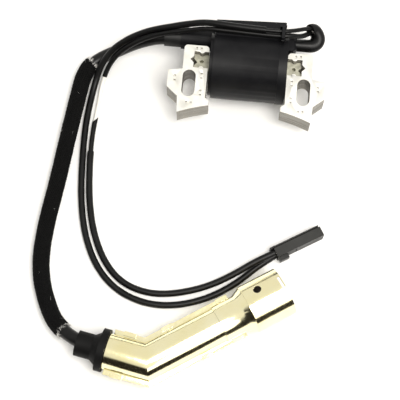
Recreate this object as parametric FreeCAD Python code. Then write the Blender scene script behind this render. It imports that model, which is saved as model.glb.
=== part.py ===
import FreeCAD, Part
import math
import os

V = FreeCAD.Vector

# Ignition coil for a small four-stroke engine, in millimetres.
# Origin: midway between the two bolt slots, on the underside of the steel core.
# +X runs from the left core leg to the right one, +Y away from the flywheel, +Z up through the core.

FLOOR_Z = -12.0

# Steel core
CORE_THICKNESS = 13.0
SLOT_X = 28.5
SLOT_RADIUS = 3.25
SLOT_LENGTH = 14.0
LEG_INNER_X = 19.7
LEG_OUTER_X = 32.2
LEG_TOP_Y = 20.3
EAR_X = 39.2
SHOE_X = 17.8
FLYWHEEL_CENTRE_Y = -95.0
FLYWHEEL_RADIUS = 86.0
BAR_Y = 12.8
BAR_HALF_WIDTH = 4.3
BAR_THICKNESS = 9.2
BAR_END_X = 27.0
BAR_WAIST_X = 23.1
BAR_WAIST_RADIUS = 1.3
BAR_WAIST_HALF = 3.4
RELIEF_HALF = 1.7
STAKE_LENGTH = 3.2
STAKE_WIDTH = 1.1
STAKE_DEPTH = 0.12
PIT_LENGTH = 0.9
PIT_DEPTH = 1.3

# Coil case
CASE_Y = 14.0
CASE_Z = 5.0
CASE_RADIUS = 17.0
CASE_WALL = 1.6
CASE_LEFT_X = -17.5
CASE_RIGHT_X = 17.6
PLATE_RIGHT_X = 19.3
COLLAR_LEFT_X = -19.1
COLLAR_RADIUS = 15.6
BLOCK_BACK_Y = (33.2, 34.6)
BLOCK_HOLLOW_Y = 31.9
BLOCK_TOP_Z = 18.0
TOWER_Y = 26.3
TOWER_Z = 6.5
TOWER_RADIUS = 5.5
TOWER_END_X = -34.5
TOWER_BORE = 4.2
GLAND_END_X = -43.0
GLAND_RADIUS = 4.8
SPIGOT_END_X = -30.5
SPIKE_RADIUS = 0.8
EXIT_Y = 26.3
EXIT_Z = 9.4

# Windings
BOBBIN_Z = BAR_THICKNESS / 2
PRIMARY_TUBE_RADIUS = 7.4
PRIMARY_COIL_RADIUS = 9.2
PRIMARY_FLANGE_RADIUS = 9.8
SECONDARY_TUBE_INNER = 10.0
SECONDARY_TUBE_OUTER = 10.8
SECONDARY_COIL_RADIUS = 12.9
SECONDARY_FLANGE_RADIUS = 13.7
BOBBIN_HALF = 13.6
SECONDARY_SECTIONS = 6
SECONDARY_FLANGE = 0.8

# Cords
LEAD_DIAMETER = 6.6
BRAID_DIAMETER = 8.4
WIRE_DIAMETER = 2.1
THIN_SLEEVE_DIAMETER = 2.5
THICK_SLEEVE_DIAMETER = 3.3
EXIT_SLEEVE_DIAMETER = 6.4
EXIT_SLEEVE_BORE = 5.6
WIRE_LIFT = 1.25

# Plug cap: its lead-side axis and its arm meet at the elbow
ELBOW = V(-35.4, -138.1, 0.0)
INLET_ANGLE = -10.5
ARM_ANGLE = 33.0
INLET_LENGTH = 20.0
SHIELD_RADIUS = 8.75
SHEET = 0.5
STEP_S = 39.5
STEP_RADIUS = 9.35
CONE_S = 50.5
SOCKET_S = 54.5
SOCKET_END_S = 74.5
SOCKET_RADIUS = 12.0
SEAM_WIDTH = 2.4
BOOT_DISC_RADIUS = 10.4
SPIGOT_RADIUS = 6.6
RUNNING_GAP = 0.2
SEAM_GAP = 0.4
LOCK_SLOT_S = 72.7
LOCK_SLOT_WIDTH = 1.2
LOCK_SLOT_HALF = 5.8
INSULATOR_RADIUS = 8.15
INSULATOR_END_S = 54.4
SEAL_RADIUS = 9.2
CLIP_BORE_RADIUS = 5.0
CLIP_BORE_S = 34.0
PLUG_BORE_RADIUS = 5.6
PLUG_BORE_S = 44.0

# Wire connector
PLUG_HEEL = V(21.6, -77.7, FLOOR_Z)
PLUG_ANGLE = 31.2
PLUG_LENGTH = 25.3
PLUG_BODY = (-3.0, 1.8)
PLUG_RAIL = (1.8, 3.0)
PLUG_HEIGHT = 9.0
WAY_OFFSET = -0.1
WAY_HEIGHTS = (2.4, 6.7)
LATCH_RECESS = 1.0
LATCH_THICKNESS = 0.4
LATCH_AXIS = (9.8, -2.2)
LATCH_ROOT_RADIUS = 0.4

# The high-tension lead, from inside its gland to the plug cap
LEAD_ROUTE = [
    (-29.0, 26.3, 6.5),
    (-43.5, 26.3, 6.4),
    (-57.0, 24.1, 1.2),
    (-67.0, 20.9, -4.6),
    (-76.5, 16.8, -7.5),
    (-83.3, 9.9, -7.8),
    (-85.4, -8.0, -7.8),
    (-87.8, -29.0, -7.7),
    (-90.0, -51.0, -7.8),
    (-92.8, -72.0, -7.8),
    (-93.6, -89.0, -7.7),
    (-91.6, -102.0, -7.7),
    (-87.2, -113.3, -7.2),
    (-81.8, -122.8, -5.4),
    (-70.8, -130.4, -0.8),
    (-59.322, -133.666, 0.0),
    (-49.146, -135.552, 0.0),
]

# The two primary wires, side by side from the coil case to the connector
EXIT_ROUTE = [
    (16.2, 26.3, 9.4),
    (22.4, 26.3, 9.4),
    (27.0, 26.35, 9.4),
    (31.1, 26.5, 9.4),
    (33.1, 27.9, 9.9),
    (33.9, 30.3, 10.8),
    (33.1, 32.7, 12.0),
    (31.1, 34.1, 13.3),
]
WIRE_1_ROUTE = [
    (27.6, 32.6, 16.6),
    (23.2, 30.2, 19.4),
    (18.4, 28.2, 21.6),
    (12.0, 27.6, 22.0),
    (3.0, 27.8, 22.0),
    (-10.5, 28.4, 22.0),
    (-21.5, 29.6, 21.2),
    (-31.0, 30.2, 16.0),
    (-41.2, 28.6, 13.6),
    (-51.4, 27.2, 9.9),
    (-61.0, 24.2, 5.6),
    (-69.2, 19.4, 1.0),
    (-74.8, 12.4, -4.0),
    (-77.6, 3.4, -10.0),
    (-79.1, -9.0, -10.3),
    (-79.8, -24.0, -10.3),
    (-78.9, -43.0, -10.3),
    (-77.3, -60.0, -10.3),
    (-73.2, -77.0, -10.3),
    (-66.2, -91.6, -10.3),
    (-55.2, -102.6, -10.3),
    (-40.6, -108.2, -10.3),
    (-25.0, -107.9, -10.3),
    (-9.5, -102.8, -10.3),
    (4.0, -93.9, -10.3),
]
WIRE_2_ROUTE = [
    (28.6, 31.0, 13.4),
    (25.0, 28.4, 15.8),
    (20.4, 26.9, 19.4),
    (14.5, 26.1, 19.5),
    (4.0, 26.3, 19.4),
    (-10.5, 26.8, 19.4),
    (-22.0, 27.1, 19.3),
    (-30.8, 27.0, 15.2),
    (-40.6, 25.8, 13.4),
    (-50.2, 24.2, 9.8),
    (-58.9, 21.2, 5.8),
    (-66.6, 16.8, 0.8),
    (-71.6, 11.0, -4.8),
    (-74.0, 2.0, -10.3),
    (-74.6, -10.0, -10.4),
    (-75.8, -24.0, -10.3),
    (-75.1, -42.0, -10.3),
    (-73.2, -59.0, -10.3),
    (-69.0, -75.6, -10.3),
    (-61.9, -89.6, -10.3),
    (-52.2, -99.0, -10.3),
    (-39.5, -102.9, -10.3),
    (-26.5, -102.0, -10.2),
    (-11.5, -97.6, -9.6),
    (2.0, -90.2, -7.9),
]


def heading(degrees):
    """A unit vector in the horizontal plane."""
    return V(math.cos(math.radians(degrees)), math.sin(math.radians(degrees)), 0)


INLET = heading(INLET_ANGLE)
ARM = heading(ARM_ANGLE)
UP = V(0, 0, 1)


def save(name, shapes):
    """Write one node, as one solid or a group of separate solids."""
    solids = []
    for shape in shapes if isinstance(shapes, list) else [shapes]:
        solids.extend(shape.Solids)
    whole = solids[0] if len(solids) == 1 else Part.makeCompound(solids)
    for solid in solids:
        if not solid.isValid() or solid.Volume <= 0:
            print("NOT VALID:", name)
    whole.exportStep("parts/" + name + ".step")


def box(low, high):
    """A box between two corners."""
    return Part.makeBox(high[0] - low[0], high[1] - low[1], high[2] - low[2], V(*low))


def rod(radius, start, end):
    """A cylinder between two points."""
    axis = end - start
    return Part.makeCylinder(radius, axis.Length, start, axis)


def tube(outer, inner, start, end):
    """A hollow cylinder between two points."""
    return rod(outer, start, end).cut(rod(inner, start, end))


def along_x(radius, left, right, y, z):
    """A cylinder along X."""
    return rod(radius, V(left, y, z), V(right, y, z))


def prism(points, bottom, top):
    """A polygon in plan, raised between two heights."""
    corners = [V(x, y, bottom) for x, y in points]
    face = Part.Face(Part.makePolygon(corners + [corners[0]]))
    return face.extrude(V(0, 0, top - bottom))


def mirrored(shape):
    """The same shape on the other side of the coil's centre plane."""
    return shape.mirror(V(0, 0, 0), V(1, 0, 0))


def vertical_edges(shape, places, reach=0.1):
    """The upright edges that stand at the given plan positions."""
    found = []
    for edge in shape.Edges:
        ends = [vertex.Point for vertex in edge.Vertexes]
        if len(ends) != 2 or abs(ends[0].z - ends[1].z) < 0.5:
            continue
        for x, y in places:
            if all(math.hypot(end.x - x, end.y - y) < reach for end in ends):
                found.append(edge)
    return found


# Cord paths

def corner_reaches(points):
    """How far each corner's arc reaches along its runs: 0.45 of the shorter one."""
    runs = [(b - a).Length for a, b in zip(points, points[1:])]
    return [0.45 * min(pair) for pair in zip(runs, runs[1:])]


def cord_path(points, reaches):
    """Straight runs joined by tangent arcs, and the arcs' radii."""
    edges = []
    radii = []
    start = points[0]
    for before, corner, after, reach in zip(points, points[1:], points[2:], reaches):
        back = (before - corner).normalize()
        ahead = (after - corner).normalize()
        half_turn = (math.pi - back.getAngle(ahead)) / 2
        radius = reach / math.tan(half_turn)
        enter = corner + back * reach
        leave = corner + ahead * reach
        inward = (back + ahead).normalize()
        middle = corner + inward * (radius / math.cos(half_turn) - radius)
        edges.append(Part.LineSegment(start, enter).toShape())
        edges.append(Part.Arc(enter, middle, leave).toShape())
        start = leave
        radii.append(radius)
    edges.append(Part.LineSegment(start, points[-1]).toShape())
    return Part.Wire(edges), radii


def end_rings(path, diameter):
    """Circles round the two ends of a path."""
    rings = []
    for edge, parameter in (
        (path.Edges[0], path.Edges[0].FirstParameter),
        (path.Edges[-1], path.Edges[-1].LastParameter),
    ):
        circle = Part.makeCircle(diameter / 2, edge.valueAt(parameter), edge.tangentAt(parameter))
        rings.append(Part.Wire(circle))
    return rings


def sweep(path, diameter):
    """A round section along a path."""
    return path.makePipeShell(end_rings(path, diameter)[:1], True, False)


def hollow_sweep(path, diameter, bore):
    """A round section with a round bore along a path: two walls and two ring-shaped ends."""
    outer, inner = end_rings(path, diameter), end_rings(path, bore)
    faces = path.makePipeShell(outer[:1], False, False).Faces
    faces += path.makePipeShell(inner[:1], False, False).Faces
    faces += [Part.Face(list(pair)) for pair in zip(outer, inner)]
    shell = Part.makeShell(faces)
    shell.sewShape()
    solid = Part.makeSolid(Part.makeShell(shell.Faces))
    solid.fix(1e-4, 1e-4, 1e-3)
    return solid


def cord(name, route, diameter):
    """A whole cord; prints its length, tightest bends and volume against section times length."""
    points = [V(*point) for point in route]
    path, radii = cord_path(points, corner_reaches(points))
    solid = sweep(path, diameter)
    ideal = math.pi * diameter ** 2 / 4 * path.Length
    print(f"{name}: length {path.Length:.1f}, volume / ideal {solid.Volume / ideal:.4f}")
    print("  radii:", " ".join(f"{radius:.0f}" if radius > 12 else f"{radius:.1f}" for radius in radii))
    return solid


def stretch(route, first, first_share, last, last_share):
    """Part of a cord's path, from a share of one run to a share of another."""
    points = [V(*point) for point in route]
    start = points[first] + (points[first + 1] - points[first]) * first_share
    end = points[last] + (points[last + 1] - points[last]) * last_share
    return cord_path([start] + points[first + 1:last + 1] + [end], corner_reaches(points)[first:last])[0]


def lifted(route, lift):
    """A route moved up or down."""
    return [(x, y, z + lift) for x, y, z in route]


def plug_point(s, n, height):
    """A place in the connector: along it, across it to its left, and above the floor."""
    axis = heading(PLUG_ANGLE)
    return PLUG_HEEL + axis * s + V(-axis.y, axis.x, 0) * n + UP * height


WIRE_1 = lifted(EXIT_ROUTE, WIRE_LIFT) + WIRE_1_ROUTE + [
    tuple(plug_point(-9.8, -1.4, 1.9)),
    tuple(plug_point(3.0, WAY_OFFSET, WAY_HEIGHTS[0])),
]
WIRE_2 = lifted(EXIT_ROUTE, -WIRE_LIFT) + WIRE_2_ROUTE + [
    tuple(plug_point(-9.6, 0.5, 6.0)),
    tuple(plug_point(3.0, WAY_OFFSET, WAY_HEIGHTS[1])),
]


# Steel core

def bow_tie(bottom, top):
    """The bar's end where it locks into a leg: a waist between two wide parts."""
    end = box((LEG_INNER_X, BAR_Y - BAR_HALF_WIDTH, bottom), (BAR_END_X, BAR_Y + BAR_HALF_WIDTH, top))
    for side in (-1, 1):
        y = BAR_Y + side * (BAR_WAIST_HALF + BAR_WAIST_RADIUS)
        end = end.cut(rod(BAR_WAIST_RADIUS, V(BAR_WAIST_X, y, bottom), V(BAR_WAIST_X, y, top)))
    return end


def relief(bottom, top):
    """The diamond-shaped relief at the bar's end."""
    points = [
        (BAR_END_X - RELIEF_HALF, BAR_Y),
        (BAR_END_X, BAR_Y - RELIEF_HALF),
        (BAR_END_X + RELIEF_HALF, BAR_Y),
        (BAR_END_X, BAR_Y + RELIEF_HALF),
    ]
    return prism(points, bottom, top)


def stake(x, y, along_y):
    """A mark where the laminations are staked together: a shallow pocket with a pit at each end."""
    pocket = box((-STAKE_LENGTH / 2, -STAKE_WIDTH / 2, -STAKE_DEPTH), (STAKE_LENGTH / 2, STAKE_WIDTH / 2, 1))
    for end in (-1, 1):
        centre = end * (STAKE_LENGTH - PIT_LENGTH) / 2
        low = (centre - PIT_LENGTH / 2, -STAKE_WIDTH / 2, -PIT_DEPTH)
        pocket = pocket.fuse(box(low, (centre + PIT_LENGTH / 2, STAKE_WIDTH / 2, 1)))
    turn = FreeCAD.Rotation(UP, 90 if along_y else 0)
    pocket.Placement = FreeCAD.Placement(V(x, y, CORE_THICKNESS), turn)
    return pocket.removeSplitter()


def core_leg():
    """The right-hand leg: a lamination stack with a pole shoe, an ear and a bolt slot."""
    def on_rim(x):
        return V(x, FLYWHEEL_CENTRE_Y + math.sqrt(FLYWHEEL_RADIUS ** 2 - x ** 2), 0)

    tip, heel = on_rim(33.0), on_rim(SHOE_X)
    corners = [
        heel,
        V(SHOE_X, -8.6, 0),
        V(LEG_INNER_X, -7.0, 0),
        V(LEG_INNER_X, LEG_TOP_Y, 0),
        V(LEG_OUTER_X, LEG_TOP_Y, 0),
        V(LEG_OUTER_X, 7.4, 0),
        V(EAR_X, 6.2, 0),
        V(EAR_X, -2.6, 0),
        V(33.6, -7.2, 0),
        tip,
    ]
    edges = [Part.LineSegment(a, b).toShape() for a, b in zip(corners, corners[1:])]
    edges.append(Part.Arc(tip, on_rim((33.0 + SHOE_X) / 2), heel).toShape())
    leg = Part.Face(Part.Wire(edges)).extrude(V(0, 0, CORE_THICKNESS))
    soft = vertical_edges(leg, [(LEG_INNER_X, LEG_TOP_Y), (LEG_OUTER_X, LEG_TOP_Y)])
    leg = leg.makeFillet(1.8, soft)
    half = SLOT_LENGTH / 2 - SLOT_RADIUS
    slot = box((SLOT_X - SLOT_RADIUS, -half, -1), (SLOT_X + SLOT_RADIUS, half, CORE_THICKNESS + 1))
    for y in (-half, half):
        slot = slot.fuse(rod(SLOT_RADIUS, V(SLOT_X, y, -1), V(SLOT_X, y, CORE_THICKNESS + 1)))
    leg = leg.cut(slot.removeSplitter())
    leg = leg.cut(bow_tie(-1, CORE_THICKNESS + 1)).cut(relief(-1, CORE_THICKNESS + 1))
    for x, y, along_y in [
        (24.8, 18.7, False),
        (22.4, 4.2, True),
        (22.4, -4.6, True),
        (35.6, 2.2, True),
        (27.6, -10.2, False),
    ]:
        leg = leg.cut(stake(x, y, along_y))
    return leg


def core_bar():
    """The bar that joins the legs through the windings."""
    half = BAR_HALF_WIDTH
    bar = box((-LEG_INNER_X, BAR_Y - half, 0), (LEG_INNER_X, BAR_Y + half, BAR_THICKNESS))
    end = bow_tie(0, BAR_THICKNESS).cut(relief(-1, BAR_THICKNESS + 1))
    bar = bar.fuse([end, mirrored(end)]).removeSplitter()
    for x in (-BAR_WAIST_X, BAR_WAIST_X):
        bar = bar.cut(rod(0.9, V(x, BAR_Y + 0.4, BAR_THICKNESS - 3), V(x, BAR_Y + 0.4, BAR_THICKNESS + 1)))
    return bar


# Windings and electronics inside the case

def bobbin_x(radius, left, right):
    """A cylinder on the windings' axis."""
    return along_x(radius, left, right, BAR_Y, BOBBIN_Z)


def bar_clearance(left, right):
    """The bar's square hole with a little clearance."""
    half_y, half_z = BAR_HALF_WIDTH + 0.1, BAR_THICKNESS / 2 + 0.1
    return box((left, BAR_Y - half_y, BOBBIN_Z - half_z), (right, BAR_Y + half_y, BOBBIN_Z + half_z))


def primary_bobbin():
    bobbin = bobbin_x(PRIMARY_TUBE_RADIUS, -BOBBIN_HALF, BOBBIN_HALF)
    for left in (-BOBBIN_HALF, BOBBIN_HALF - 1.0):
        bobbin = bobbin.fuse(bobbin_x(PRIMARY_FLANGE_RADIUS, left, left + 1.0))
    return bobbin.removeSplitter().cut(bar_clearance(-20, 20))


def primary_winding():
    reach = BOBBIN_HALF - 1.0
    return bobbin_x(PRIMARY_COIL_RADIUS, -reach, reach).cut(bobbin_x(PRIMARY_TUBE_RADIUS, -reach, reach))


def section_lefts():
    """Where each flange of the sectioned secondary bobbin starts."""
    pitch = (2 * BOBBIN_HALF - SECONDARY_FLANGE) / SECONDARY_SECTIONS
    return [-BOBBIN_HALF + pitch * i for i in range(SECONDARY_SECTIONS + 1)]


def secondary_bobbin():
    bobbin = bobbin_x(SECONDARY_TUBE_OUTER, -BOBBIN_HALF, BOBBIN_HALF)
    for left in section_lefts():
        bobbin = bobbin.fuse(bobbin_x(SECONDARY_FLANGE_RADIUS, left, left + SECONDARY_FLANGE))
    return bobbin.removeSplitter().cut(bobbin_x(SECONDARY_TUBE_INNER, -20, 20))


def secondary_winding():
    """One separate coil in each section of the bobbin."""
    lefts = section_lefts()
    coils = []
    for left, right in zip(lefts, lefts[1:]):
        start = left + SECONDARY_FLANGE
        coil = bobbin_x(SECONDARY_COIL_RADIUS, start, right)
        coils.append(coil.cut(bobbin_x(SECONDARY_TUBE_OUTER, start, right)))
    return coils


def control_board():
    return box((-13.5, 29.4, -9.5), (14.0, 31.0, 14.5))


def power_transistor():
    body = box((-9.5, 25.2, -10.5), (0.5, 29.4, -3.6))
    tab = box((-9.5, 28.1, -3.6), (0.5, 29.4, 0.4))
    return body.fuse(tab).removeSplitter()


def base_resistor():
    return along_x(1.3, 4.0, 11.0, 28.0, -6.0)


def hv_terminal():
    """The brass spike that carries the spark voltage into the lead."""
    spike = along_x(SPIKE_RADIUS, -32.0, -14.2, TOWER_Y, TOWER_Z)
    head = along_x(1.8, CASE_LEFT_X + CASE_WALL, -14.2, TOWER_Y, TOWER_Z)
    point = Part.makeCone(SPIKE_RADIUS, 0.1, 3.0, V(-32.0, TOWER_Y, TOWER_Z), V(-1, 0, 0))
    return spike.fuse([head, point]).removeSplitter()


# Coil case

def case_inside():
    """The space inside the case, open underneath the block."""
    wall = CASE_WALL
    left, right = CASE_LEFT_X + wall, CASE_RIGHT_X - wall
    barrel = along_x(CASE_RADIUS - wall, left, right, CASE_Y, CASE_Z)
    block = box((left, CASE_Y + 8, FLOOR_Z), (right, BLOCK_HOLLOW_Y, BLOCK_TOP_Z - wall))
    return barrel.fuse(block).removeSplitter()


def case_shell():
    """The moulding: a barrel round the windings, a block behind it, the tower and the wire clip."""
    barrel = along_x(CASE_RADIUS, CASE_LEFT_X, CASE_RIGHT_X, CASE_Y, CASE_Z)
    end_edges = [edge for edge in barrel.Edges if abs(edge.Length - 2 * math.pi * CASE_RADIUS) < 0.01]
    barrel = barrel.makeFillet(0.9, end_edges[:1])
    plan = [
        (CASE_LEFT_X + 0.3, CASE_Y),
        (CASE_RIGHT_X, CASE_Y),
        (CASE_RIGHT_X, BLOCK_BACK_Y[1]),
        (CASE_LEFT_X + 0.3, BLOCK_BACK_Y[0]),
    ]
    block = prism(plan, FLOOR_Z, BLOCK_TOP_Z)
    back = [e for e in block.Edges if all(v.Y > BLOCK_BACK_Y[0] - 0.01 for v in e.Vertexes)]
    block = block.makeFillet(0.7, back)
    plate = along_x(CASE_RADIUS + 0.3, CASE_RIGHT_X - 2.6, PLATE_RIGHT_X, CASE_Y, CASE_Z)
    plate = plate.common(box((0, -20, FLOOR_Z), (30, 40, 40)))
    collar = along_x(COLLAR_RADIUS, COLLAR_LEFT_X, CASE_LEFT_X + 0.5, CASE_Y, CASE_Z)
    tower = along_x(TOWER_RADIUS, TOWER_END_X, -17.0, TOWER_Y, TOWER_Z)
    rib = box((CASE_LEFT_X - 1.2, TOWER_Y - 7.4, 2.0), (CASE_LEFT_X + 1, TOWER_Y + 6.4, 11.6))
    boss = box((17.0, 21.4, 5.2), (23.6, 30.8, 13.6))
    upright = [e for e in boss.Edges if all(abs(v.X - 23.6) < 0.01 for v in e.Vertexes)]
    boss = boss.makeChamfer(1.6, upright)
    # the clip is a post behind the wires with a strap reaching forward over them
    post = box((14.4, 29.3, BLOCK_TOP_Z - 1), (17.6, 30.2, 24.3))
    strap = box((15.4, 23.2, 23.3), (17.0, 30.2, 24.3))
    lip = box((15.4, 22.4, BLOCK_TOP_Z + 0.3), (17.0, 23.1, 22.6))
    shell = barrel.fuse([block, plate, collar, tower, rib, boss, post, strap, lip]).removeSplitter()
    shell = shell.cut(case_inside())
    shell = shell.cut(bar_clearance(-25, 25))
    shell = shell.cut(along_x(TOWER_BORE, TOWER_END_X - 1, SPIGOT_END_X, TOWER_Y, TOWER_Z))
    shell = shell.cut(along_x(LEAD_DIAMETER / 2 + 0.1, SPIGOT_END_X - 1, LEAD_ROUTE[0][0] + 0.1, TOWER_Y, TOWER_Z))
    shell = shell.cut(along_x(SPIKE_RADIUS, -30, -15, TOWER_Y, TOWER_Z))
    shell = shell.cut(along_x(EXIT_SLEEVE_DIAMETER / 2 + 0.1, 19.4, 24, EXIT_Y, EXIT_Z))
    for lift in (WIRE_LIFT, -WIRE_LIFT):
        shell = shell.cut(along_x(WIRE_DIAMETER / 2, 10, 20, EXIT_Y, EXIT_Z + lift))
    return shell


def potting(inside_pieces):
    """The resin that fills the case round everything in it, a little short of the opening."""
    fill = case_inside().cut(box((-30, -20, FLOOR_Z - 1), (30, 50, FLOOR_Z + 0.8)))
    fill = fill.cut(bar_clearance(-20, 20))
    fill = fill.cut(bobbin_x(SECONDARY_FLANGE_RADIUS, -BOBBIN_HALF, BOBBIN_HALF))
    for piece in inside_pieces:
        fill = fill.cut(piece)
    return fill


def lead_gland():
    """The rubber gland that seals the lead into the tower."""
    collar = along_x(GLAND_RADIUS, GLAND_END_X, TOWER_END_X, TOWER_Y, TOWER_Z)
    spigot = along_x(TOWER_BORE, TOWER_END_X, SPIGOT_END_X, TOWER_Y, TOWER_Z)
    return collar.fuse(spigot).removeSplitter()


# Plug cap

def arm_point(s):
    """A place on the arm's axis, measured from the elbow."""
    return ELBOW + ARM * s


def inlet_point(s):
    """A place on the lead side's axis, measured back from the elbow."""
    return ELBOW - INLET * s


def elbow_solid(radius, inlet_length, arm_length):
    """A solid bar with one mitred bend, from the lead side to the arm."""
    far = 60.0
    mitre = (ARM + INLET).normalize()
    beyond = box((0, -far, -far), (far, far, far))
    beyond.Placement = FreeCAD.Placement(ELBOW, FreeCAD.Rotation(V(1, 0, 0), mitre))
    reach = radius * 2
    first = rod(radius, inlet_point(inlet_length), ELBOW + INLET * reach).cut(beyond)
    second = rod(radius, ELBOW - ARM * reach, arm_point(arm_length)).common(beyond)
    return first.fuse(second).removeSplitter()


def half_space(upper):
    """Everything above, or below, the plane where the two shield halves meet."""
    middle = ELBOW.z
    if upper:
        return box((-200, -300, middle), (200, 100, middle + 100))
    return box((-200, -300, middle - 100), (200, 100, middle))


def seam_plan(width):
    """The plan outline of the shield's flat seam: both straight parts, mitred at the elbow."""
    lead_across = V(-INLET.y, INLET.x, 0)
    arm_across = V(-ARM.y, ARM.x, 0)
    mitre_across = (lead_across + arm_across).normalize()
    reach = width / mitre_across.dot(arm_across)
    corners = []
    for side in (1, -1):
        line = [
            inlet_point(INLET_LENGTH - 1.0) + lead_across * width * side,
            ELBOW + mitre_across * reach * side,
            arm_point(CONE_S - 2.0) + arm_across * width * side,
        ]
        corners.extend(line if side > 0 else line[::-1])
    return [(corner.x, corner.y) for corner in corners]


def shield_outside(grow):
    """The closed form of the shield, grown or shrunk: elbow, stepped part and cone."""
    form = elbow_solid(SHIELD_RADIUS + grow, INLET_LENGTH, STEP_S)
    form = form.fuse(rod(STEP_RADIUS + grow, arm_point(STEP_S - 0.6), arm_point(CONE_S)))
    cone = Part.makeCone(
        STEP_RADIUS + grow, SOCKET_RADIUS - SHEET + grow, SOCKET_S - CONE_S, arm_point(CONE_S), ARM
    )
    return form.fuse(cone).removeSplitter()


def shield_half(upper):
    """One stamped half of the shield, with its half of the flat seam."""
    sheet = SHEET if upper else -SHEET
    middle = ELBOW.z
    low, high = min(middle, middle + sheet), max(middle, middle + sheet)
    flange = prism(seam_plan(SHIELD_RADIUS + SEAM_WIDTH), low, high)
    half = shield_outside(0.0).fuse(flange).cut(shield_outside(-SHEET))
    half = half.cut(rod(SHIELD_RADIUS - SHEET, inlet_point(INLET_LENGTH + 2), inlet_point(2)))
    half = half.cut(rod(SOCKET_RADIUS - 2 * SHEET, arm_point(SOCKET_S - 0.6), arm_point(SOCKET_S + 5)))
    return half.common(half_space(upper))


def crimp_tab(s, side, on_arm, length=6.0):
    """A tab of the lower half folded over the upper half's seam: an edge strip and its turned-over leaf."""
    axis = ARM if on_arm else INLET
    across = V(-axis.y, axis.x, 0) * side
    centre = arm_point(s) if on_arm else inlet_point(s)
    edge = SHIELD_RADIUS + SEAM_WIDTH
    leaf_low, leaf_high = SHEET, SHEET + 0.4
    strip = [(edge, edge + 0.4, -SHEET, leaf_high), (edge - 1.7, edge + 0.2, leaf_low, leaf_high)]
    pieces = []
    for inner, outer, low, high in strip:
        corners = []
        for along, out in ((-1, inner), (1, inner), (1, outer), (-1, outer)):
            corner = centre + axis * (along * length / 2) + across * out
            corners.append((corner.x, corner.y))
        pieces.append(prism(corners, ELBOW.z + low, ELBOW.z + high))
    return pieces[0].fuse(pieces[1]).removeSplitter()


CRIMP_TABS = [
    (11.5, 1, False),
    (12.5, -1, False),
    (16.0, 1, True),
    (45.5, 1, True),
    (27.0, -1, True),
    (44.0, -1, True),
]


def shield_lower():
    """The lower half with its folded tabs."""
    half = shield_half(False)
    tabs = [crimp_tab(s, side, on_arm) for s, side, on_arm in CRIMP_TABS]
    return half.fuse(tabs).removeSplitter()


def shield_socket():
    """The rolled barrel that slips over the spark plug: a long seam, a round hole and a lock slot."""
    start, end = arm_point(SOCKET_S), arm_point(SOCKET_END_S)
    barrel = tube(SOCKET_RADIUS, SOCKET_RADIUS - SHEET, start, end)
    across = V(-ARM.y, ARM.x, 0)
    seam_side = (UP * 0.96 - across * 0.27).normalize() * SOCKET_RADIUS
    barrel = barrel.cut(rod(SEAM_GAP / 2, start - ARM + seam_side, end + ARM + seam_side))
    hole_side = (UP * 0.9 + across * 0.43).normalize()
    at = arm_point(61.8)
    barrel = barrel.cut(rod(2.0, at + hole_side * 8, at + hole_side * 14))
    slot_end = arm_point(LOCK_SLOT_S + LOCK_SLOT_WIDTH)
    slot = tube(SOCKET_RADIUS + 1, SOCKET_RADIUS - 1, arm_point(LOCK_SLOT_S), slot_end)
    side = box((0, -LOCK_SLOT_HALF, 0), (SOCKET_END_S, LOCK_SLOT_HALF, SOCKET_RADIUS + 1))
    side.Placement = FreeCAD.Placement(ELBOW, FreeCAD.Rotation(V(1, 0, 0), ARM))
    return barrel.cut(slot.common(side))


def socket_seal():
    """The rubber ring round the insulator, inside the shield's cone."""
    return tube(SEAL_RADIUS, INSULATOR_RADIUS + 0.05, arm_point(CONE_S + 1.0), arm_point(INSULATOR_END_S))


def cap_insulator():
    """The moulded elbow inside the shield: bores for the lead, the resistor and the spark plug."""
    body = elbow_solid(INSULATOR_RADIUS, INLET_LENGTH - 0.5, INSULATOR_END_S)
    body = body.cut(rod(SPIGOT_RADIUS + RUNNING_GAP, inlet_point(INLET_LENGTH), inlet_point(13.6)))
    body = body.cut(rod(2.2, inlet_point(15.0), ELBOW + INLET * 1.0))
    body = body.cut(rod(2.6, ELBOW, arm_point(CLIP_BORE_S + 1)))
    body = body.cut(rod(CLIP_BORE_RADIUS, arm_point(CLIP_BORE_S), arm_point(PLUG_BORE_S + 1)))
    return body.cut(rod(PLUG_BORE_RADIUS, arm_point(PLUG_BORE_S), arm_point(70)))


def lead_screw():
    """The wood-type screw that bites into the lead's core, with its head at the elbow."""
    shank = rod(0.95, inlet_point(20.5), inlet_point(5.0))
    head = rod(2.1, inlet_point(5.0), inlet_point(3.0))
    return shank.fuse(head).removeSplitter()


def suppressor_resistor():
    """The resistor rod between two metal end caps."""
    body = rod(2.2, arm_point(3.2), arm_point(18.2))
    caps = [rod(2.5, arm_point(s), arm_point(s + 2.0)) for s in (2.2, 17.2)]
    return body.fuse(caps).removeSplitter()


def resistor_spring():
    """The coil spring that presses the resistor on to the lead screw."""
    turns, wire, radius = 6, 0.5, 1.9
    length = 24.2 - 19.6
    helix = Part.makeHelix(length / turns, length, radius)
    start = helix.Edges[0].valueAt(helix.Edges[0].FirstParameter)
    direction = helix.Edges[0].tangentAt(helix.Edges[0].FirstParameter)
    ring = Part.Wire(Part.makeCircle(wire / 2, start, direction))
    spring = Part.Wire(helix).makePipeShell([ring], True, True)
    spring.Placement = FreeCAD.Placement(arm_point(19.6), FreeCAD.Rotation(V(0, 0, 1), ARM))
    return spring


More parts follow.
